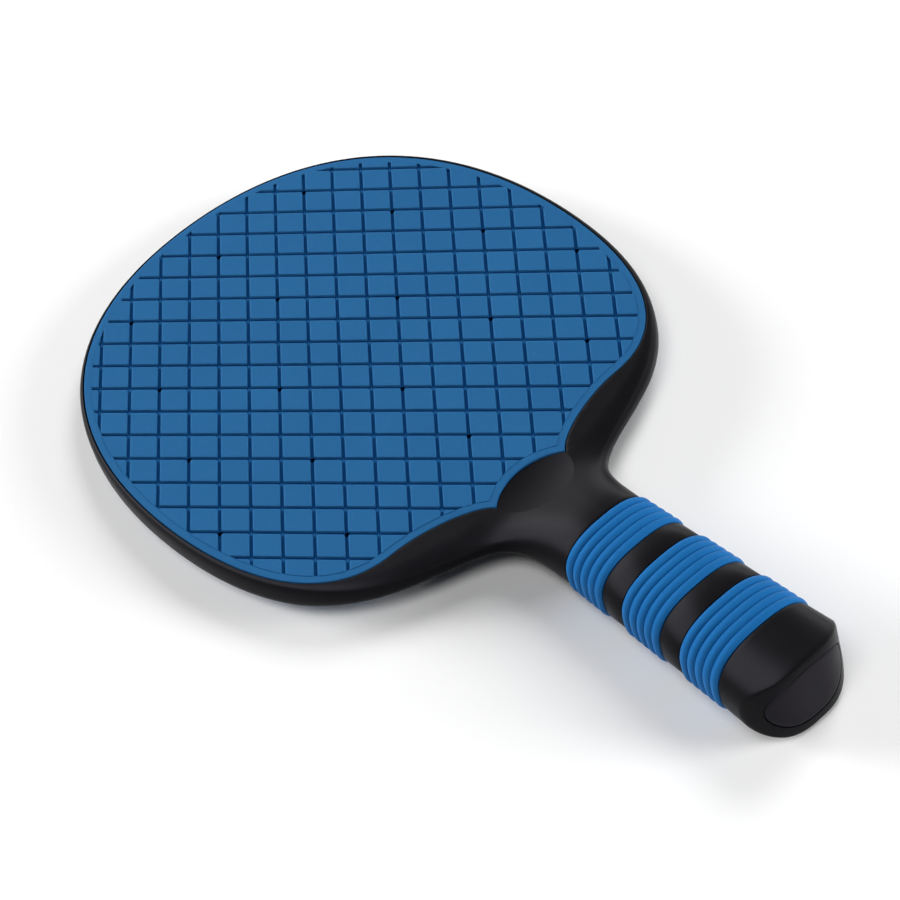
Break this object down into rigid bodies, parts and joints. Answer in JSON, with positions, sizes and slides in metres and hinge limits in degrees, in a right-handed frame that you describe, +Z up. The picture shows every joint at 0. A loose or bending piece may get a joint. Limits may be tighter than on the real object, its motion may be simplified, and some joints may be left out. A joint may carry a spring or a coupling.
{
  "type": "table tennis racket",
  "caption": "All-weather table tennis racket: one moulded black body with tiled soft sheets on both faces, ribbed blue grip bands and a plugged oval handle end.",
  "frame": {"origin": "on the surface that the racket lies on, under the middle of its bounding box", "axes": "+Y runs from the handle end to the blade tip, +Z up out of the front face, +X across the blade; the racket leans about 2 degrees, resting on its blade tip and handle end"},
  "size_m": [0.1514, 0.2602, 0.026],
  "materials": {
    "body_black": "satin black moulded plastic",
    "sheet_blue": "matte blue soft sheet",
    "band_blue": "matte blue grip rubber",
    "plug_black": "satin black moulded plastic"
  },
  "bodies": {
    "root": {"moulded_body": "body_black", "front_face_sheet": "sheet_blue", "back_face_sheet": "sheet_blue", "grip_band_1": "band_blue", "grip_band_2": "band_blue", "grip_band_3": "band_blue", "handle_end_plug": "plug_black"}
  },
  "joints": []
}
